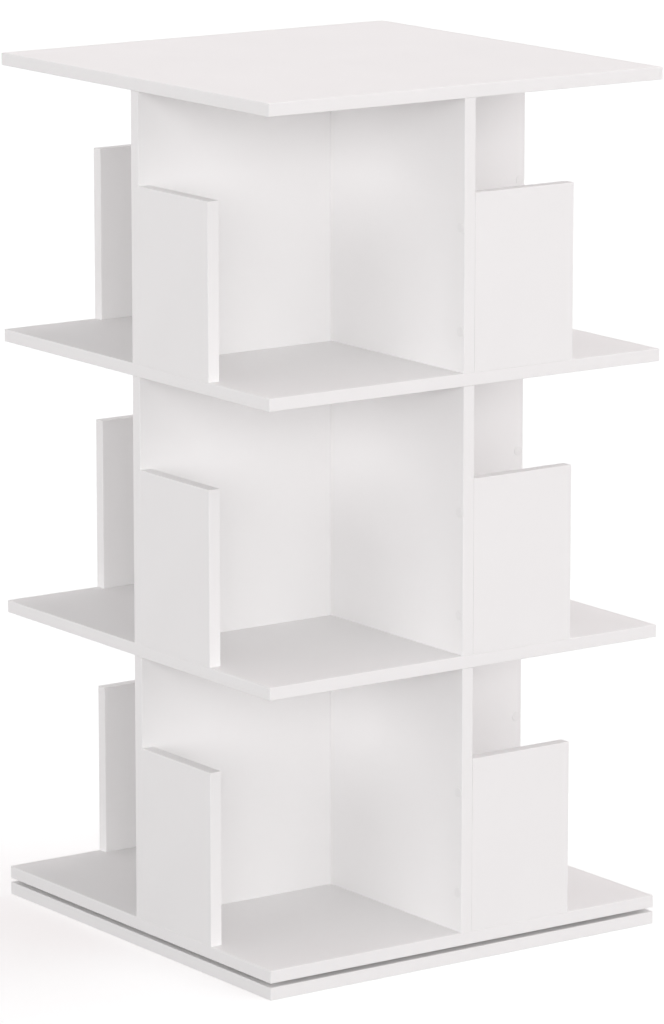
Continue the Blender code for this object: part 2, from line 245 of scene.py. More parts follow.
class Effect:
    """A surface effect that several finishes share, kept as one node group."""

    NAME: ClassVar[str]
    TAKES: ClassVar[dict[str, str]]
    GIVES: ClassVar[dict[str, str]]

    @classmethod
    def wire(cls, bench: NodeBench, given: bpy.types.NodeOutputs) -> Sockets:
        """Joins what the group takes to what it gives.

        Args:
            bench: the group's own tree.
            given: what the group takes.

        Returns:
            What the group gives, by name.
        """
        raise NotImplementedError

    @classmethod
    def group(cls) -> bpy.types.NodeTree:
        """Makes the effect's node group on its first use.

        Returns:
            The node group.
        """
        found = bpy.data.node_groups.get(cls.NAME)
        if found:
            return found
        tree = bpy.data.node_groups.new(cls.NAME, "ShaderNodeTree")
        for way, sockets in (("INPUT", cls.TAKES), ("OUTPUT", cls.GIVES)):
            for name, kind in sockets.items():
                tree.interface.new_socket(name=name, in_out=way, socket_type=kind)
        bench = NodeBench(tree)
        results = cls.wire(bench, bench.put("NodeGroupInput").outputs)
        bench.put("NodeGroupOutput", **results)
        return tree

    @classmethod
    def place(cls, bench: NodeBench, **inputs: object) -> bpy.types.NodeOutputs:
        """Puts the effect in a material's tree, with the finish's own values."""
        return bench.put("ShaderNodeGroup", {"node_tree": cls.group()}, **inputs).outputs


class Mottle(Effect):
    """Wide faint patches of two nearly equal colours."""

    NAME = "mottle"
    TAKES = {"Colour": "NodeSocketColor", "Other": "NodeSocketColor", "Patches": "NodeSocketFloat"}
    GIVES = {"Colour": "NodeSocketColor"}
    DETAIL: ClassVar[float] = 4.0

    @classmethod
    def wire(cls, bench: NodeBench, given: bpy.types.NodeOutputs) -> Sockets:
        """Mixes the two colours by noise."""
        share = bench.spread(bench.noise(given["Patches"], cls.DETAIL), 0.0, 1.0)
        return {"Colour": bench.blend(share, given["Colour"], given["Other"])}


class Handling(Effect):
    """Places that hands and cloths have left a little smoother or duller."""

    NAME = "handling"
    TAKES = {"Smooth": "NodeSocketFloat", "Dull": "NodeSocketFloat", "Smears": "NodeSocketFloat"}
    GIVES = {"Roughness": "NodeSocketFloat"}
    DETAIL: ClassVar[float] = 6.0

    @classmethod
    def wire(cls, bench: NodeBench, given: bpy.types.NodeOutputs) -> Sockets:
        """Spreads noise between the two roughnesses."""
        smear = bench.noise(given["Smears"], cls.DETAIL)
        return {"Roughness": bench.spread(smear, given["Smooth"], given["Dull"])}


class Pearl(Effect):
    """The fine pearl of a pressed or moulded surface."""

    NAME = "pearl"
    TAKES = {"Grains": "NodeSocketFloat"}
    GIVES = {"Height": "NodeSocketFloat"}
    SWELL: ClassVar[float] = 0.2

    @classmethod
    def wire(cls, bench: NodeBench, given: bpy.types.NodeOutputs) -> Sockets:
        """Lays small round grains over a slower swell.

        Args:
            bench: the group's own tree.
            given: what the group takes.

        Returns:
            What the group gives, by name.
        """
        round_grains = {"feature": "SMOOTH_F1"}
        grains = bench.put("ShaderNodeTexVoronoi", round_grains, Vector=bench.place(), Scale=given["Grains"])
        swell = bench.noise(bench.math("MULTIPLY", given["Grains"], cls.SWELL))
        return {"Height": bench.math("ADD", grains.outputs["Distance"], swell)}


class TurningMarks(Effect):
    """Fine rings that a lathe tool leaves round the turning axis."""

    NAME = "turning_marks"
    TAKES = {"Rings": "NodeSocketFloat"}
    GIVES = {"Height": "NodeSocketFloat"}
    DETAIL: ClassVar[float] = 1.0

    @classmethod
    def wire(cls, bench: NodeBench, given: bpy.types.NodeOutputs) -> Sockets:
        """Takes noise along the distance from the axis and along the height.

        Args:
            bench: the group's own tree.
            given: what the group takes.

        Returns:
            What the group gives, by name.
        """
        parts = bench.put("ShaderNodeSeparateXYZ", Vector=bench.place()).outputs
        flat = bench.put("ShaderNodeCombineXYZ", X=parts["X"], Y=parts["Y"]).outputs[0]
        radius = bench.join("ShaderNodeVectorMath", flat, operation="LENGTH").outputs["Value"]
        along = bench.math("MULTIPLY", bench.math("ADD", radius, parts["Z"]), given["Rings"])
        in_line = {"noise_dimensions": "1D"}
        rings = bench.put("ShaderNodeTexNoise", in_line, W=along, Scale=1.0, Detail=cls.DETAIL)
        return {"Height": rings.outputs[0]}


# Finishes


@dataclass(frozen=True)
class Finish:
    """A surface finish of this bookcase, with the values that its effects take."""

    name: str
    colour: Colour
    other: Colour
    smooth: float
    dull: float
    patches: float = 7.0
    smears: float = 16.0
    metallic: float = 0.0

    def material(self) -> bpy.types.Material:
        """Makes the finish's material on its first use.

        Returns:
            The material.
        """
        found = bpy.data.materials.get(self.name)
        if found:
            return found
        material = bpy.data.materials.new(self.name)
        material.use_nodes = True
        bench = NodeBench(material.node_tree)
        shader = bench.put("ShaderNodeBsdfPrincipled", Metallic=self.metallic)
        bench.put("ShaderNodeOutputMaterial", Surface=shader.outputs[0])
        bench.feed(shader.inputs["Base Color"], self.tint(bench))
        handling = Handling.place(bench, Smooth=self.smooth, Dull=self.dull, Smears=self.smears)
        bench.feed(shader.inputs["Roughness"], handling["Roughness"])
        self.relief(bench, shader)
        return material

    def tint(self, bench: NodeBench) -> bpy.types.NodeSocket:
        """The finish's varying colour."""
        mottle = Mottle.place(bench, Colour=self.colour, Other=self.other, Patches=self.patches)
        return mottle["Colour"]

    def relief(self, bench: NodeBench, shader: bpy.types.Node) -> None:
        """Gives the surface its relief. A plain finish has none."""

    @staticmethod
    def bump(
        bench: NodeBench, shader: bpy.types.Node, height: bpy.types.NodeSocket, depth: float
    ) -> None:
        """Bumps a surface by a height that varies over it.

        Args:
            bench: the material's tree.
            shader: the shader whose normal it bends.
            height: the varying height, about 0 to 1.
            depth: what a height of 1 is in metres.
        """
        bump = bench.put("ShaderNodeBump", Strength=1.0, Distance=depth, Height=height)
        bench.feed(shader.inputs["Normal"], bump.outputs["Normal"])


@dataclass(frozen=True)
class PearledFinish(Finish):
    """A pressed or moulded finish with a fine pearl."""

    grains: float = 900.0
    pearl_depth: float = 0.00003

    def relief(self, bench: NodeBench, shader: bpy.types.Node) -> None:
        """Bumps the surface with the pearl."""
        self.bump(bench, shader, Pearl.place(bench, Grains=self.grains)["Height"], self.pearl_depth)


@dataclass(frozen=True)
class TurnedFinish(Finish):
    """A metal finish with the rings of the lathe."""

    rings: float = 9000.0
    ring_depth: float = 0.000012

    def relief(self, bench: NodeBench, shader: bpy.types.Node) -> None:
        """Bumps the surface with the turning marks."""
        self.bump(bench, shader, TurningMarks.place(bench, Rings=self.rings)["Height"], self.ring_depth)


@dataclass(frozen=True)
class ChipboardFinish(Finish):
    """The raw core of a board, where a saw or a drill has opened it: pale and dark chips."""

    chips: float = 520.0
    splinters: float = 900.0
    splinter_detail: float = 4.0
    raggedness: float = 0.004
    chip_depth: float = 0.0003

    def chip_cells(self, bench: NodeBench) -> bpy.types.NodeOutputs:
        """Makes the cells of single chips, with ragged outlines.

        Args:
            bench: the material's tree.

        Returns:
            What the cells give.
        """
        place, reach = bench.place(), (self.raggedness,) * 3
        fine = {"Scale": self.splinters, "Detail": self.splinter_detail}
        rag = bench.put("ShaderNodeTexNoise", Vector=place, **fine).outputs["Color"]
        ragged = bench.join("ShaderNodeVectorMath", rag, reach, place, operation="MULTIPLY_ADD").outputs[0]
        return bench.put("ShaderNodeTexVoronoi", Vector=ragged, Scale=self.chips).outputs

    def tint(self, bench: NodeBench) -> bpy.types.NodeSocket:
        """Gives each chip its own brown."""
        share = bench.put("ShaderNodeSeparateColor", Color=self.chip_cells(bench)["Color"]).outputs[0]
        return bench.blend(share, self.colour, self.other)

    def relief(self, bench: NodeBench, shader: bpy.types.Node) -> None:
        """Lets the chips stand a little out of the cut."""
        self.bump(bench, shader, self.chip_cells(bench)["Distance"], self.chip_depth)


MELAMINE = PearledFinish(
    name="melamine_sheet",
    colour=(0.922, 0.915, 0.914),
    other=(0.910, 0.903, 0.902),
    smooth=0.50,
    dull=0.60,
)
EDGE_BAND = PearledFinish(
    name="edge_band",
    colour=(0.920, 0.913, 0.912),
    other=(0.909, 0.902, 0.901),
    smooth=0.46,
    dull=0.56,
    smears=40.0,
    grains=1400.0,
    pearl_depth=0.00001,
)
CHIPBOARD = ChipboardFinish(
    name="raw_chipboard",
    colour=(0.42, 0.29, 0.17),
    other=(0.66, 0.52, 0.35),
    smooth=0.85,
    dull=0.95,
)
CAP_PLASTIC = PearledFinish(
    name="cap_plastic",
    colour=(0.895, 0.889, 0.886),
    other=(0.882, 0.876, 0.873),
    smooth=0.34,
    dull=0.42,
    patches=120.0,
    smears=260.0,
    grains=2600.0,
    pearl_depth=0.000008,
)
ALUMINIUM = TurnedFinish(
    name="satin_aluminium",
    colour=(0.74, 0.75, 0.77),
    other=(0.68, 0.69, 0.71),
    smooth=0.26,
    dull=0.42,
    patches=60.0,
    smears=90.0,
    metallic=1.0,
)
CAGE_PLASTIC = PearledFinish(
    name="cage_plastic",
    colour=(0.50, 0.51, 0.53),
    other=(0.45, 0.46, 0.48),
    smooth=0.45,
    dull=0.58,
    patches=140.0,
    smears=300.0,
    grains=2200.0,
)
BALL_STEEL = Finish(
    name="ball_steel",
    colour=(0.80, 0.80, 0.82),
    other=(0.70, 0.70, 0.73),
    smooth=0.06,
    dull=0.16,
    patches=700.0,
    smears=900.0,
    metallic=1.0,
)
ZINC = Finish(
    name="zinc_plating",
    colour=(0.66, 0.67, 0.71),
    other=(0.58, 0.58, 0.56),
    smooth=0.28,
    dull=0.44,
    patches=260.0,
    smears=420.0,
    metallic=1.0,
)
BOARD_FINISHES = (MELAMINE, EDGE_BAND, CHIPBOARD)


# Shapes


class Shape:
    """Ways to make the meshes of pieces."""

    MERGE: ClassVar[float] = 1e-6
    SHARP: ClassVar[float] = math.radians(32)

    @classmethod
    def keep(cls, working: bmesh.types.BMesh, name: str) -> bpy.types.Mesh:
        """Ends a working mesh and keeps it, smooth but for its sharp edges.

        Args:
            working: the working mesh, which is freed.
            name: the kept mesh's name.

        Returns:
            The kept mesh.
        """
        bmesh.ops.recalc_face_normals(working, faces=working.faces)
        mesh = bpy.data.meshes.new(name)
        working.to_mesh(mesh)
        working.free()
        mesh.shade_smooth()
        mesh.set_sharp_from_angle(angle=cls.SHARP)
        return mesh

    @classmethod
    def turn(
        cls, working: bmesh.types.BMesh, profile: Profile, steps: int, closed: bool = False
    ) -> None:
        """Turns a profile round the Z axis into a working mesh.

        Args:
            working: the mesh that takes the shape.
            profile: radius and height of each corner.
            steps: facets in a full turn.
            closed: whether the profile ends where it starts, as a ring's section does.
        """
        corners = [working.verts.new((radius, 0, height)) for radius, height in profile]
        after = corners[1:] + corners[:1] if closed else corners[1:]
        edges = [working.edges.new(pair) for pair in zip(corners, after)]
        bmesh.ops.spin(
            working,
            geom=corners + edges,
            cent=(0, 0, 0),
            axis=(0, 0, 1),
            angle=math.tau,
            steps=steps,
            use_merge=True,
        )
        bmesh.ops.remove_doubles(working, verts=working.verts, dist=cls.MERGE)

    @classmethod
    def turned(cls, name: str, profile: Profile, steps: int, closed: bool = False) -> bpy.types.Mesh:
        """Makes a mesh by turning a profile.

        Args:
            name: the mesh's name.
            profile: radius and height of each corner.
            steps: facets in a full turn.
            closed: whether the profile ends where it starts.

        Returns:
            The turned mesh.
        """
        working = bmesh.new()
        cls.turn(working, profile, steps, closed)
        return cls.keep(working, name)

    @classmethod
    def copies(cls, name: str, mesh: bpy.types.Mesh, places: Iterable[Matrix]) -> bpy.types.Mesh:
        """Makes one mesh of copies of another.

        Args:
            name: the new mesh's name.
            mesh: the mesh that is copied.
            places: where each copy goes.

        Returns:
            The mesh with all the copies.
        """
        working = bmesh.new()
        for place in places:
            first = len(working.verts)
            working.from_mesh(mesh)
            working.verts.ensure_lookup_table()
            bmesh.ops.transform(working, matrix=place, verts=working.verts[first:])
        return cls.keep(working, name)

    @classmethod
    def block(cls, name: str, place: Matrix) -> bpy.types.Mesh:
        """Makes a cutter's block, a metre each way before it is placed.

        Args:
            name: the mesh's name.
            place: its size and place.

        Returns:
            The block.
        """
        working = bmesh.new()
        bmesh.ops.create_cube(working, size=1, matrix=place)
        return cls.keep(working, name)

    @classmethod
    def cut(cls, mesh: bpy.types.Mesh, cutter: bpy.types.Mesh) -> bpy.types.Mesh:
        """Takes a cutter from a mesh. The cut faces keep the cutter's material place.

        Args:
            mesh: the mesh that is cut.
            cutter: the closed shape that is taken away.

        Returns:
            What is left.
        """
        piece = bpy.data.objects.new(mesh.name, mesh)
        tool = bpy.data.objects.new(cutter.name, cutter)
        for thing in (piece, tool):
            bpy.context.scene.collection.objects.link(thing)
        boolean = piece.modifiers.new("cut", "BOOLEAN")
        boolean.operation = "DIFFERENCE"
        boolean.object = tool
        working = bmesh.new()
        working.from_object(piece, bpy.context.evaluated_depsgraph_get())
        for thing in (piece, tool):
            bpy.data.objects.remove(thing, do_unlink=True)
        bmesh.ops.remove_doubles(working, verts=working.verts, dist=cls.MERGE)
        bmesh.ops.dissolve_degenerate(working, edges=working.edges, dist=cls.MERGE)
        return cls.keep(working, f"{mesh.name}_cut")

    @classmethod
    def drill(
        cls, mesh: bpy.types.Mesh, hole: bpy.types.Mesh, places: Iterable[Matrix], part: int = 0
    ) -> bpy.types.Mesh:
        """Cuts holes of one shape in a mesh.

        Args:
            mesh: the mesh that is drilled.
            hole: the closed shape of a hole.
            places: where the holes go.
            part: the material place of their walls.

        Returns:
            The drilled mesh.
        """
        holes = cls.copies(f"{mesh.name}_holes", hole, places)
        for face in holes.polygons:
            face.material_index = part
        return cls.cut(mesh, holes)

    @staticmethod
    def rod(radius: float, top: float, bottom: float) -> Profile:
        """The section of a straight rod or hole on the Z axis."""
        return [(0, top), (radius, top), (radius, bottom), (0, bottom)]

    @staticmethod
    def arc(centre: tuple[float, float], radius: float, start: float, end: float, steps: int) -> Profile:
        """Points of an arc in a profile, with its angles in degrees."""
        turns = [math.radians(start + (end - start) * step / steps) for step in range(steps + 1)]
        return [(centre[0] + radius * math.cos(turn), centre[1] + radius * math.sin(turn)) for turn in turns]

    @staticmethod
    def thread(radius: float, depth: float, pitch: float, top: float, bottom: float) -> Profile:
        """Makes the ridges of a screw thread, from the top down.

        Args:
            radius: over the ridges.
            depth: from the ridges to the core.
            pitch: from ridge to ridge.
            top: height of its upper end.
            bottom: height that it doesn't pass.

        Returns:
            The thread's part of a profile.
        """
        ridges = int((top - bottom) / pitch)
        profile: Profile = []
        for ridge in range(ridges):
            height = top - ridge * pitch
            profile += [(radius - depth, height), (radius, height - pitch / 2)]
        return [*profile, (radius - depth, top - ridges * pitch)]


@dataclass(frozen=True)
class BandedBoard:
    """A board with a rounded, glued band on its free edges, and sawn ends at its joints."""

    low: Vector
    high: Vector
    sawn: tuple[Vector, ...] = ()
    band: float = 0.001
    seam: float = 0.0002
    rounding: float = 0.0007
    rounding_steps: int = 4
    sawn_share: float = 0.06

    @property
    def middle(self) -> Vector:
        """The board's middle."""
        return (self.low + self.high) / 2

    @property
    def size(self) -> Vector:
        """The board's length along each axis."""
        return self.high - self.low

    @property
    def axes(self) -> tuple[int, int, int]:
        """The two axes that the board's faces lie along, and then the axis of its thickness."""
        thin = min(range(3), key=lambda axis: self.size[axis])
        return *(axis for axis in range(3) if axis != thin), thin

    def share(self, axis: int, sign: int) -> float:
        """How much of a banded edge's roundness a side has: all, or a trace where it is sawn."""
        return self.sawn_share if any(way[axis] == sign for way in self.sawn) else 1.0

    def edge_lines(self) -> Profile:
        """Lists how far in and how far down each line round a face lies, from the seam out.

        Returns:
            The lines of the seam, then those of the rounded edge.
        """
        seam = [(self.band + self.seam, 0.0), (self.band + self.seam / 2, self.seam / 2), (self.band, 0.0)]
        centre = (self.rounding, self.rounding)
        return seam + Shape.arc(centre, self.rounding, -90, -180, self.rounding_steps)

    def line(self, inset: float, height: float) -> list[Vector]:
        """Makes one line round the board, with rounded corners where it lies far enough out.

        Args:
            inset: how far it lies in from a banded edge.
            height: from the board's middle, along its thickness.

        Returns:
            The line's points, in order round the board.
        """
        across, along, thin = self.axes
        centre = max(inset, self.rounding)
        radius = max(self.rounding - inset, 0.0)
        points = []
        for corner, (right, far) in enumerate(((1, 1), (-1, 1), (-1, -1), (1, -1))):
            for step in range(self.rounding_steps + 1):
                turn = math.pi / 2 * (corner + step / self.rounding_steps)
                point = Vector()
                for axis, sign, reach in ((across, right, math.cos(turn)), (along, far, math.sin(turn))):
                    share = self.share(axis, sign)
                    point[axis] = sign * (self.size[axis] / 2 - share * centre) + share * radius * reach
                point[thin] = height
                points.append(point)
        return points

    def is_sawn(self, point: Vector) -> bool:
        """Whether a point of the board's surface lies on a sawn end."""
        return any(point.dot(way) > abs(self.size.dot(way)) / 2 - Shape.MERGE for way in self.sawn)

    def mesh(self, name: str) -> bpy.types.Mesh:
        """Makes the board's mesh about its own middle, with its sheets, bands and sawn ends told apart.

        Args:
            name: the mesh's name.

        Returns:
            The mesh.
        """
        half = self.size[self.axes[2]] / 2
        edge = self.edge_lines()
        lines = [self.line(inset, half - drop) for inset, drop in edge]
        lines += [self.line(inset, drop - half) for inset, drop in reversed(edge)]
        working = bmesh.new()
        loops = [[working.verts.new(point) for point in line] for line in lines]
        working.faces.new(loops[0])
        working.faces.new(loops[-1])
        for above, below in zip(loops, loops[1:]):
            for place in range(len(above)):
                face = working.faces.new((above[place - 1], above[place], below[place], below[place - 1]))
                part = BoardPart.CORE if self.is_sawn(face.calc_center_median()) else BoardPart.BAND
                face.material_index = part.value
        bmesh.ops.remove_doubles(working, verts=working.verts, dist=Shape.MERGE)
        return Shape.keep(working, name)


# Pieces


class Assembly:
    """A sub-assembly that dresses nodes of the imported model."""

    @staticmethod
    def add(
        name: str,
        mesh: bpy.types.Mesh,
        finishes: Sequence[Finish],
        body: Body,
        slot: Slot,
        node: str,
        place: Matrix | None = None,
    ) -> None:
        """Places a piece, and hides the node that it stands for.

        Args:
            name: the piece's name.
            mesh: its mesh.
            finishes: its finishes, in the order of the mesh's material places.
            body: the body that it moves with.
            slot: the record's finish that it takes; not used.
            node: the node that it stands for.
            place: where it stands; at the origin if left out.
        """
        if not mesh.materials:
            for finish in finishes:
                mesh.materials.append(finish.material())
        piece = bpy.data.objects.new(name, mesh)
        piece.matrix_world = place or Matrix.Identity(4)
        bpy.context.scene.collection.objects.link(piece)
        normals = piece.modifiers.new("flat_faces", "WEIGHTED_NORMAL")
        normals.keep_sharp = True
        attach(piece, body.value)
        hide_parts(node)
        LOG.info("%s rides on %s, with %d faces", name, body.value, len(mesh.polygons))

    def add_board(
        self,
        node: str,
        corners: Corners,
        sawn: tuple[Vector, ...] = (),
        hole: bpy.types.Mesh | None = None,
        holes_at: Iterable[Matrix] = (),
        body: Body = Body.CAROUSEL,
    ) -> None:
        """Places a banded board that stands for a node.

        Args:
            node: the node.
            corners: the board's lowest and highest corners.
            sawn: the ways that its sawn ends face.
            hole: the shape of its holes, where its core shows.
            holes_at: where they go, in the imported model's frame.
            body: the body that it moves with.
        """
        board = BandedBoard(*corners, sawn)
        name = f"{node}_banded"
        place = Matrix.Translation(board.middle)
        mesh = board.mesh(name)
        if hole:
            spots = [place.inverted() @ spot for spot in holes_at]
            mesh = Shape.drill(mesh, hole, spots, BoardPart.CORE.value)
        self.add(name, mesh, BOARD_FINISHES, body, Slot.MELAMINE, node, place)

    @staticmethod
    def upright(node: str) -> Matrix:
        """The place where the axis of an upright round node meets the floor."""
        low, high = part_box(node)
        return Matrix.Translation(((low.x + high.x) / 2, (low.y + high.y) / 2, 0))


@dataclass
class UprightFasteners(Assembly):
    """Equal fasteners of the turntable, each standing on its head."""

    nodes: tuple[str, ...]
    body: Body
    radius: float
    thread_depth: float
    thread_pitch: float
    steps: int = 32

    @property
    def box(self) -> Corners:
        """The corners of the first one."""
        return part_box(self.nodes[0])

    @property
    def places(self) -> list[Matrix]:
        """Where their axes meet the floor."""
        return [self.upright(node) for node in self.nodes]

    @property
    def core(self) -> float:
        """Radius of the thread's core."""
        return self.radius - self.thread_depth

    @property
    def clear(self) -> float:
        """Radius of a hole that the thread goes through."""
        return self.radius + FIT_GAP

    def thread(self, top: float, bottom: float) -> Profile:
        """The thread's part of the section."""
        return Shape.thread(self.radius, self.thread_depth, self.thread_pitch, top, bottom)

    def hole(self, profile: Profile) -> bpy.types.Mesh:
        """The closed shape of a hole with this section."""
        return Shape.turned(f"{self.nodes[0]}_hole", profile, self.steps)

    def mesh(self) -> bpy.types.Mesh:
        """The mesh of one, on the Z axis."""
        raise NotImplementedError

    def build(self) -> None:
        """Builds them all from one mesh."""
        mesh = self.mesh()
        for node, place in zip(self.nodes, self.places):
            self.add(f"{node}_plated", mesh, (ZINC,), self.body, Slot.STEEL, node, place)


@dataclass
class BaseBolts(UprightFasteners):
    """Socket-headed bolts, up through the base board into the turntable's still ring."""

    nodes: tuple[str, ...] = ("base_bolt_1", "base_bolt_2", "base_bolt_3")
    body: Body = Body.BASE
    radius: float = 0.002
    thread_depth: float = 0.0003
    thread_pitch: float = 0.0007
    head_radius: float = 0.004
    head_height: float = 0.0026
    head_rounding: float = 0.0008
    rounding_steps: int = 5
    socket_radius: float = 0.0023
    socket_depth: float = 0.0016
    socket_sides: int = 6

    def board_hole(self, low: float, high: float) -> bpy.types.Mesh:
        """Makes the counterbored hole that takes a bolt through a board.

        Args:
            low: height of the board's underside.
            high: height of its top.

        Returns:
            The closed shape of the hole.
        """
        head = self.head_radius + FIT_GAP
        sink = low + self.head_height + 2 * FIT_GAP
        above, below = high + head, low - head
        shank = [(0, above), (self.clear, above), (self.clear, sink)]
        return self.hole([*shank, (head, sink), (head, below), (0, below)])

    def mesh(self) -> bpy.types.Mesh:
        """Makes a bolt.

        Returns:
            The bolt, on the Z axis.
        """
        low, high = (corner.z for corner in self.box)
        under_head = low + self.head_height
        round_centre = (self.head_radius - self.head_rounding, low + self.head_rounding)
        profile = [
            (0, high),
            (self.core, high),
            *self.thread(high - self.thread_pitch, under_head),
            (self.radius, under_head),
            (self.head_radius, under_head),
            *Shape.arc(round_centre, self.head_rounding, 0, -90, self.rounding_steps),
            (0, low),
        ]
        bolt = Shape.turned("base_bolt", profile, self.steps)
        socket = Shape.rod(self.socket_radius, low + self.socket_depth, low - self.socket_depth)
        return Shape.cut(bolt, Shape.turned("hex_socket", socket, self.socket_sides))


@dataclass
class ShelfScrews(UprightFasteners):
    """Countersunk screws, up through the turntable's turning ring into the bottom shelf."""

    nodes: tuple[str, ...] = ("shelf_screw_1", "shelf_screw_2", "shelf_screw_3")
    body: Body = Body.CAROUSEL
    radius: float = 0.0017
    thread_depth: float = 0.0004
    thread_pitch: float = 0.0012
    head_height: float = 0.0018
    head_rim: float = 0.0003
    recess_width: float = 0.0009
    recess_span: float = 0.0036
    recess_depth: float = 0.0012

    @property
    def head_radius(self) -> float:
        """Radius of the head, which is the widest part."""
        low, high = self.box
        return (high.x - low.x) / 2

    def ring_hole(self) -> bpy.types.Mesh:
        """Makes the countersunk hole that takes a screw through a ring.

        Returns:
            The closed shape of the hole.
        """
        low, high = (corner.z for corner in self.box)
        widening = (self.head_radius - self.radius) / self.head_height
        neck, below = low + self.head_height, low - 2 * FIT_GAP
        mouth = self.clear + widening * (neck - below)
        return self.hole([(0, high), (self.clear, high), (self.clear, neck), (mouth, below), (0, below)])

    def mesh(self) -> bpy.types.Mesh:
        """Makes a screw with a crossed recess.

        Returns:
            The screw, on the Z axis.
        """
        low, high = (corner.z for corner in self.box)
        neck = low + self.head_height
        profile = [
            (0, high),
            *self.thread(high - self.radius, neck),
            (self.core, neck),
            (self.head_radius, low + self.head_rim),
            (self.head_radius, low),
            (0, low),
        ]
        screw = Shape.turned("shelf_screw", profile, self.steps)
        size = Matrix.Diagonal((self.recess_span, self.recess_width, 2 * self.recess_depth, 1))
        for turn in (0, math.pi / 2):
            place = Matrix.Translation((0, 0, low)) @ Matrix.Rotation(turn, 4, "Z") @ size
            screw = Shape.cut(screw, Shape.block("crossed_recess", place))
        return screw


@dataclass
class Base(Assembly):
    """The board on the floor, with the bolts that hold the turntable."""

    bolts: BaseBolts

    def build(self) -> None:
        """Builds the board, drilled for the bolts, and the bolts."""
        low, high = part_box("base_board")
        hole = self.bolts.board_hole(low.z, high.z)
        self.add_board("base_board", (low, high), (), hole, self.bolts.places, Body.BASE)
        self.bolts.build()


@dataclass
class Turntable(Assembly):
    """The bearing in the slot: two turned rings, a cage with balls between them, and its screws."""

    bolts: BaseBolts
    screws: ShelfScrews
    ring_width: float = 0.013
    race_slot: float = 0.0014
    chamfer: float = 0.0004
    groove_radius: float = 0.00135
    groove_steps: int = 8
    ring_steps: int = 144
    cage_thickness: float = 0.0005
    cage_reach: float = 0.0015
    pocket_play: float = 0.00008
    ball_radius: float = 0.0012
    ball_count: int = 16
    ball_subdivisions: int = 3
    inner_box: Corners = field(init=False)
    outer_box: Corners = field(init=False)

    def __post_init__(self) -> None:
        """Reads where the rings are."""
        self.inner_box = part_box("turntable_inner_ring")
        self.outer_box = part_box("turntable_outer_ring")

    @property
    def race_radius(self) -> float:
        """Distance of the balls from the turning axis."""
        return self.outer_box[1].x - self.ring_width - self.race_slot / 2

    @property
    def race_height(self) -> float:
        """Height of the balls' middles."""
        return (self.inner_box[1].z + self.outer_box[0].z) / 2

    def groove(self, towards: float) -> Profile:
        """Makes the arc of a ring's ball groove.

        Args:
            towards: the angle of the groove's bed from the balls, 0 outward and 180 inward.

        Returns:
            The arc, turning anticlockwise.
        """
        half = math.degrees(math.acos(self.race_slot / 2 / self.groove_radius))
        centre = (self.race_radius, self.race_height)
        return Shape.arc(centre, self.groove_radius, towards - half, towards + half, self.groove_steps)

    def ring_profile(self, box: Corners, inside: float, outward: bool) -> Profile:
        """Makes a ring's section, with chamfered corners.

        Args:
            box: the ring's corners, for its heights.
            inside: the radius of its bore.
            outward: whether its groove is in its rim, not in its bore.

        Returns:
            The section, from the rim's top corner down.
        """
        bottom, top, step = box[0].z, box[1].z, self.chamfer
        outside = inside + self.ring_width
        return [
            (outside - step, top),
            (outside, top - step),
            *(self.groove(180) if outward else []),
            (outside, bottom + step),
            (outside - step, bottom),
            (inside + step, bottom),
            (inside, bottom + step),
            *([] if outward else self.groove(0)),
            (inside, top - step),
            (inside + step, top),
        ]

    def build_rings(self) -> None:
        """Builds the still ring and the turning ring, drilled for their bolts and screws."""
        still_inside = self.race_radius + self.race_slot / 2
        turning_inside = self.race_radius - self.race_slot / 2 - self.ring_width
        still = self.ring_profile(self.outer_box, still_inside, outward=False)
        turning = self.ring_profile(self.inner_box, turning_inside, outward=True)
        bolt_hole = self.bolts.hole(Shape.rod(self.bolts.clear, 2 * self.race_height, 0))
        for node, profile, hole, fasteners in (
            ("turntable_outer_ring", still, bolt_hole, self.bolts),
            ("turntable_inner_ring", turning, self.screws.ring_hole(), self.screws),
        ):
            ring = Shape.turned(node, profile, self.ring_steps, closed=True)
            mesh = Shape.drill(ring, hole, fasteners.places)
            self.add(f"{node}_turned", mesh, (ALUMINIUM,), fasteners.body, Slot.ALUMINIUM, node)

    def balls(self, name: str, radius: float) -> bpy.types.Mesh:
        """Makes a ring of balls in the race.

        Args:
            name: the mesh's name.
            radius: of each ball.

        Returns:
            The balls in one mesh.
        """
        working = bmesh.new()
        bmesh.ops.create_icosphere(working, subdivisions=self.ball_subdivisions, radius=radius)
        ball = Shape.keep(working, "ball")
        start = Matrix.Translation((self.race_radius, 0, self.race_height))
        turns = [math.tau * (number + 0.5) / self.ball_count for number in range(self.ball_count)]
        return Shape.copies(name, ball, [Matrix.Rotation(turn, 4, "Z") @ start for turn in turns])

    def build_cage(self) -> None:
        """Builds the thin cage, with a pocket for each ball, and the balls."""
        inside, outside = (self.race_radius + way * self.cage_thickness / 2 for way in (-1, 1))
        bottom, top = (self.race_height + way * self.cage_reach for way in (-1, 1))
        section = [(outside, top), (outside, bottom), (inside, bottom), (inside, top)]
        band = Shape.turned("cage_band", section, self.ring_steps, closed=True)
        cage = Shape.cut(band, self.balls("ball_pockets", self.ball_radius + self.pocket_play))
        balls = self.balls("turntable_balls", self.ball_radius)
        node = "turntable_ball_ring"
        self.add("turntable_cage", cage, (CAGE_PLASTIC,), Body.RACE, Slot.CAGE, node)
        self.add("turntable_balls", balls, (BALL_STEEL,), Body.RACE, Slot.CAGE, node)

    def build(self) -> None:
        """Builds the bearing from the rings in."""
        self.build_rings()
        self.build_cage()
        self.screws.build()


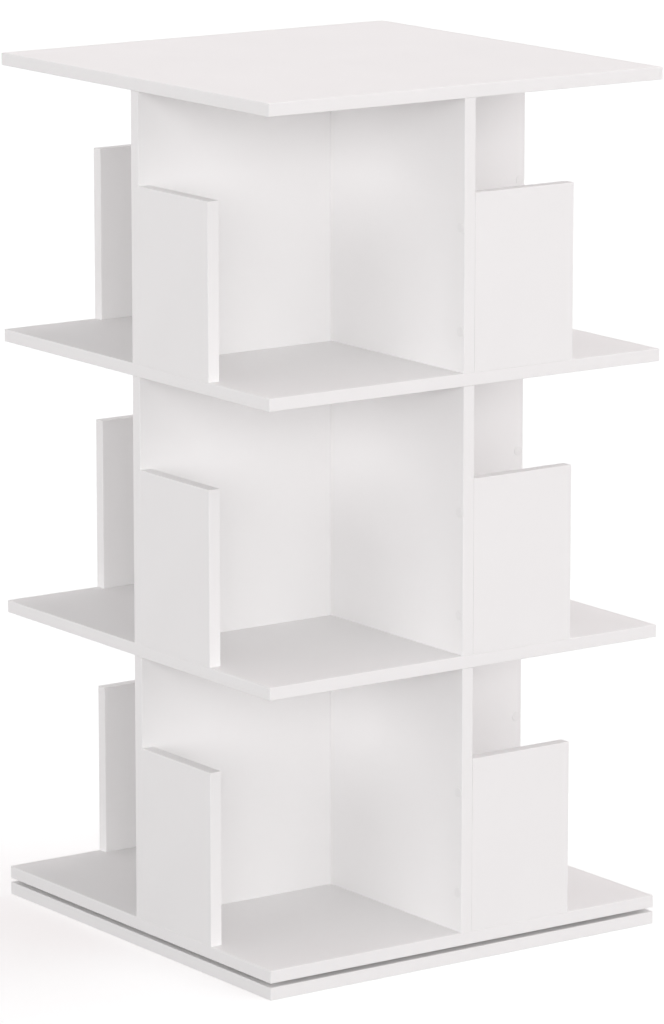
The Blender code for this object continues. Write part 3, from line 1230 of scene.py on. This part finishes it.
@dataclass
class Shelves(Assembly):
    """The four square boards of the carousel."""

    screws: ShelfScrews
    upper_nodes: tuple[str, ...] = ("lower_shelf", "upper_shelf", "top_panel")

    def build(self) -> None:
        """Builds each shelf where its node is, the bottom one drilled for the turntable's screws."""
        tip = self.screws.box[1].z + FIT_GAP
        hole = self.screws.hole(Shape.rod(self.screws.clear, tip, 0))
        self.add_board("bottom_shelf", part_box("bottom_shelf"), (), hole, self.screws.places)
        for node in self.upper_nodes:
            self.add_board(node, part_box(node))


@dataclass
class CappedScrew:
    """A screw through a divider into a wing's end, under a plastic cap."""

    cap_radius: float = 0.0062
    cap_height: float = 0.0009
    cap_edge: float = 0.0003
    head_radius: float = 0.0048
    head_height: float = 0.0045
    shank_radius: float = 0.0033
    thread_depth: float = 0.0008
    thread_pitch: float = 0.0030
    length: float = 0.050
    seat: float = 0.00004
    steps: int = 40
    dome_steps: int = 8
    edge_steps: int = 5

    def cap_profile(self) -> Profile:
        """Makes the cap's section: a low dome over a rounded edge.

        Returns:
            The section, from the crown out and back to the axis.
        """
        rim = self.cap_radius - self.cap_edge
        shoulder = 2 * self.cap_edge
        crown = self.cap_height - shoulder
        shares = [step / self.dome_steps for step in range(self.dome_steps)]
        dome = [(rim * share, shoulder + crown * (1 - share**2)) for share in shares]
        edge = Shape.arc((rim, self.cap_edge), self.cap_edge, 90, 0, self.edge_steps)
        return [*dome, *edge, (self.cap_radius, self.seat), (0, self.seat)]

    def screw_profile(self) -> Profile:
        """Makes the screw's section.

        Returns:
            The section, from its sunk head down to its tip.
        """
        core = self.shank_radius - self.thread_depth
        neck = -self.head_height
        tip = self.shank_radius - self.length
        top_thread = neck - self.thread_pitch
        return [
            (0, -self.seat),
            (self.head_radius, -self.seat),
            (self.shank_radius, neck),
            (core, neck - self.thread_pitch / 2),
            *Shape.thread(self.shank_radius, self.thread_depth, self.thread_pitch, top_thread, tip),
            (0, -self.length),
        ]

    def mesh(self) -> bpy.types.Mesh:
        """Makes the cap and the screw, with the divider's face at height zero.

        Returns:
            The mesh, with the cap as its first material and the screw as its second.
        """
        working = bmesh.new()
        Shape.turn(working, self.cap_profile(), self.steps)
        cap_faces = len(working.faces)
        Shape.turn(working, self.screw_profile(), self.steps)
        working.faces.ensure_lookup_table()
        for face in working.faces[cap_faces:]:
            face.material_index = 1
        return Shape.keep(working, "capped_screw")

    def hole(self) -> bpy.types.Mesh:
        """Makes the hole that the screw takes, from over the divider's face to past its tip.

        Returns:
            The closed shape of the hole.
        """
        head, shank = self.head_radius + FIT_GAP, self.shank_radius + FIT_GAP
        end = -self.length - FIT_GAP
        profile = [
            (0, self.cap_height),
            (head, self.cap_height),
            (head, 0),
            (shank, -self.head_height),
            (shank, end),
            (0, end),
        ]
        return Shape.turned("wing_screw_hole", profile, self.steps)


@dataclass
class Tier(Assembly):
    """One tier: a cross of three dividers, four wings and the wings' screws."""

    tier: TierName
    screw: bpy.types.Mesh
    screw_hole: bpy.types.Mesh
    joint_gap: float = 0.00005
    dividers: dict[str, Corners] = field(default_factory=dict)

    def corners(self, node: str) -> Corners:
        """Finds an upright's corners without the dowels that stick out of it into the shelves.

        Args:
            node: the upright's node.

        Returns:
            Its lowest and highest corners, with its sawn ends on the shelves.
        """
        low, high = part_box(node)
        floor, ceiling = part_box(self.tier.shelf_below)[1].z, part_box(self.tier.shelf_above)[0].z
        low.z = floor + self.joint_gap
        high.z = min(high.z, ceiling - self.joint_gap)
        return low, high

    def build_dividers(self) -> None:
        """Builds the long divider, and a half divider butted on each face of it."""
        ends = {
            "long_divider": (UP, -UP),
            "left_divider": (UP, -UP, LEFT_TO_RIGHT),
            "right_divider": (UP, -UP, -LEFT_TO_RIGHT),
        }
        self.dividers = {name: self.corners(f"{self.tier.label}_{name}") for name in ends}
        long_low, long_high = self.dividers["long_divider"]
        self.dividers["left_divider"][1].x = long_low.x - self.joint_gap
        self.dividers["right_divider"][0].x = long_high.x + self.joint_gap
        for name, sawn in ends.items():
            sides = [side for side in WingSide if side.divider == name]
            places = [place for side in sides for place in self.screws(side).values()]
            node = f"{self.tier.label}_{name}"
            self.add_board(node, self.dividers[name], sawn, self.screw_hole, places)

    def wing_corners(self, wing: str, side: WingSide) -> Corners:
        """Finds a wing's corners, with its sawn end on the divider.

        Args:
            wing: the wing's node.
            side: which wing it is.

        Returns:
            Its lowest and highest corners.
        """
        low, high = self.corners(wing)
        divider_low, divider_high = self.dividers[side.divider]
        if side.onward:
            low[side.axis] = divider_high[side.axis] + self.joint_gap
        else:
            high[side.axis] = divider_low[side.axis] - self.joint_gap
        return low, high

    def screws(self, side: WingSide) -> dict[str, Matrix]:
        """Finds a wing's screws, with their axes on their nodes' and their caps on the divider's face.

        Args:
            side: the wing that they hold.

        Returns:
            The place of each screw by its node, with its tip along its own -Z.
        """
        divider_low, divider_high = self.dividers[side.divider]
        face = (divider_low if side.onward else divider_high)[side.axis]
        turn = (-UP).rotation_difference(side.screws_go).to_matrix().to_4x4()
        places = {}
        for end in ("low", "high"):
            node = f"{self.tier.label}_{side.label}_wing_screw_{end}"
            point = sum(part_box(node), Vector()) / 2
            point[side.axis] = face
            places[node] = Matrix.Translation(point) @ turn
        return places

    def build_wings(self) -> None:
        """Builds the wings and their capped screws."""
        finishes = (CAP_PLASTIC, ZINC)
        for side in WingSide:
            wing = f"{self.tier.label}_{side.label}_wing"
            sawn = (-UP, -side.screws_go)
            screws = self.screws(side)
            self.add_board(wing, self.wing_corners(wing, side), sawn, self.screw_hole, screws.values())
            for node, place in screws.items():
                self.add(f"{node}_capped", self.screw, finishes, Body.CAROUSEL, Slot.SCREW, node, place)

    def build(self) -> None:
        """Builds the tier's cross, and then its wings."""
        self.build_dividers()
        self.build_wings()


# Studio


SIDE_WHITE = (1.0, 0.990, 0.992)
FILL_WHITE = (1.0, 0.980, 0.980)
HIGH_WHITE = (1.0, 0.922, 0.928)


@dataclass(frozen=True)
class SoftLight:
    """A wide far light, given by where it stands round the bookcase, with its angles in degrees."""

    name: str
    azimuth: float
    strength: float
    colour: Colour
    elevation: float = 5.0
    spread: float = 40.0

    def build(self) -> None:
        """Adds the light."""
        lamp = bpy.data.lights.new(self.name, "SUN")
        lamp.energy = self.strength
        lamp.angle = math.radians(self.spread)
        lamp.color = self.colour
        light = bpy.data.objects.new(self.name, lamp)
        light.rotation_mode = "QUATERNION"
        light.rotation_quaternion = Studio.outward(self.azimuth, self.elevation).to_track_quat("Z", "Y")
        bpy.context.scene.collection.objects.link(light)


@dataclass
class Studio:
    """The camera, the white floor and the soft light."""

    azimuth: float = -35.33
    elevation: float = 11.78
    distance: float = 7.16
    lens: float = 199.3
    aim_height: float = 0.519
    aim_right: float = 0.004
    far: float = 300.0
    floor_side: float = 120.0
    dome: float = 0.25
    floor_colour: Colour = (0.45, 0.45, 0.45)
    floor_glow: Colour = (0.41, 0.27, 0.27)
    floor_shade: Colour = (0.80, 1.0, 1.0)
    lights: tuple[SoftLight, ...] = (
        SoftLight("left_light", -85.0, 1.02, SIDE_WHITE),
        SoftLight("front_light", -35.0, 1.59, SIDE_WHITE),
        SoftLight("right_light", 15.0, 0.82, SIDE_WHITE),
        SoftLight("far_right_light", 100.0, 0.80, FILL_WHITE),
        SoftLight("back_light", 190.0, 0.80, FILL_WHITE),
        SoftLight("high_right_light", 70.0, 1.33, HIGH_WHITE, elevation=50.0, spread=80.0),
        SoftLight("high_back_light", -150.0, 0.36, HIGH_WHITE, elevation=50.0, spread=60.0),
    )

    @staticmethod
    def outward(azimuth: float, elevation: float) -> Vector:
        """The way from the bookcase to a place round it, with angles in degrees."""
        turn, lift = math.radians(azimuth), math.radians(elevation)
        return Vector((math.sin(turn) * math.cos(lift), -math.cos(turn) * math.cos(lift), math.sin(lift)))

    @staticmethod
    def seen(bench: NodeBench) -> bpy.types.NodeSocket:
        """Tells whether a ray shows its surface to the camera, straight, mirrored or through glass.

        Args:
            bench: the tree that asks.

        Returns:
            1 where it does, 0 where the ray only gathers light.
        """
        path = bench.put("ShaderNodeLightPath").outputs
        either = bench.math("MAXIMUM", path["Is Camera Ray"], path["Is Glossy Ray"])
        return bench.math("MAXIMUM", either, path["Is Transmission Ray"])

    def build_camera(self) -> None:
        """Sets the camera at the photograph's viewing angle."""
        data = bpy.data.cameras.new("camera")
        data.lens = self.lens
        data.clip_end = self.far
        camera = bpy.data.objects.new("camera", data)
        back = self.outward(self.azimuth, self.elevation)
        aim = UP * self.aim_height + UP.cross(back).normalized() * self.aim_right
        camera.location = aim + back * self.distance
        camera.rotation_mode = "QUATERNION"
        camera.rotation_quaternion = (-back).to_track_quat("-Z", "Y")
        bpy.context.scene.collection.objects.link(camera)
        bpy.context.scene.camera = camera

    def build_world(self) -> None:
        """Makes an even dome of light, white where it shows."""
        world = bpy.data.worlds.new("studio")
        world.use_nodes = True
        bench = NodeBench(world.node_tree)
        light = bench.put("ShaderNodeBackground", Color=WHITE, Strength=self.dome).outputs[0]
        shown = bench.put("ShaderNodeBackground", Color=WHITE, Strength=1.0).outputs[0]
        either = bench.join("ShaderNodeMixShader", self.seen(bench), light, shown)
        bench.put("ShaderNodeOutputWorld", Surface=either.outputs[0])
        bpy.context.scene.world = world

    def build_floor(self) -> None:
        """Makes a wide white floor that keeps the bookcase's faint shadow."""
        working = bmesh.new()
        bmesh.ops.create_grid(working, x_segments=1, y_segments=1, size=self.floor_side / 2)
        floor = bpy.data.objects.new("floor", Shape.keep(working, "floor"))
        material = bpy.data.materials.new("studio_floor")
        material.use_nodes = True
        bench = NodeBench(material.node_tree)
        plain = bench.put("ShaderNodeBsdfDiffuse", Color=self.floor_colour).outputs[0]
        glow = bench.put("ShaderNodeEmission", Color=self.floor_glow, Strength=1.0).outputs[0]
        shade = bench.put("ShaderNodeBsdfDiffuse", Color=self.floor_shade).outputs[0]
        shown = bench.join("ShaderNodeAddShader", glow, shade).outputs[0]
        either = bench.join("ShaderNodeMixShader", self.seen(bench), plain, shown)
        bench.put("ShaderNodeOutputMaterial", Surface=either.outputs[0])
        floor.data.materials.append(material)
        bpy.context.scene.collection.objects.link(floor)

    def build(self) -> None:
        """Sets up the whole studio."""
        bpy.context.scene.view_settings.view_transform = "Standard"
        self.build_camera()
        self.build_world()
        self.build_floor()
        for light in self.lights:
            light.build()


def main() -> None:
    """Dresses the bookcase from the floor up, in its studio."""
    logging.basicConfig(level=logging.INFO, format="%(message)s")
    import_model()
    Studio().build()
    bolts, screws = BaseBolts(), ShelfScrews()
    Base(bolts).build()
    Turntable(bolts, screws).build()
    Shelves(screws).build()
    capped_screw = CappedScrew()
    screw, screw_hole = capped_screw.mesh(), capped_screw.hole()
    for tier in TierName:
        Tier(tier, screw, screw_hole).build()


if __name__ == "__main__":
    main()
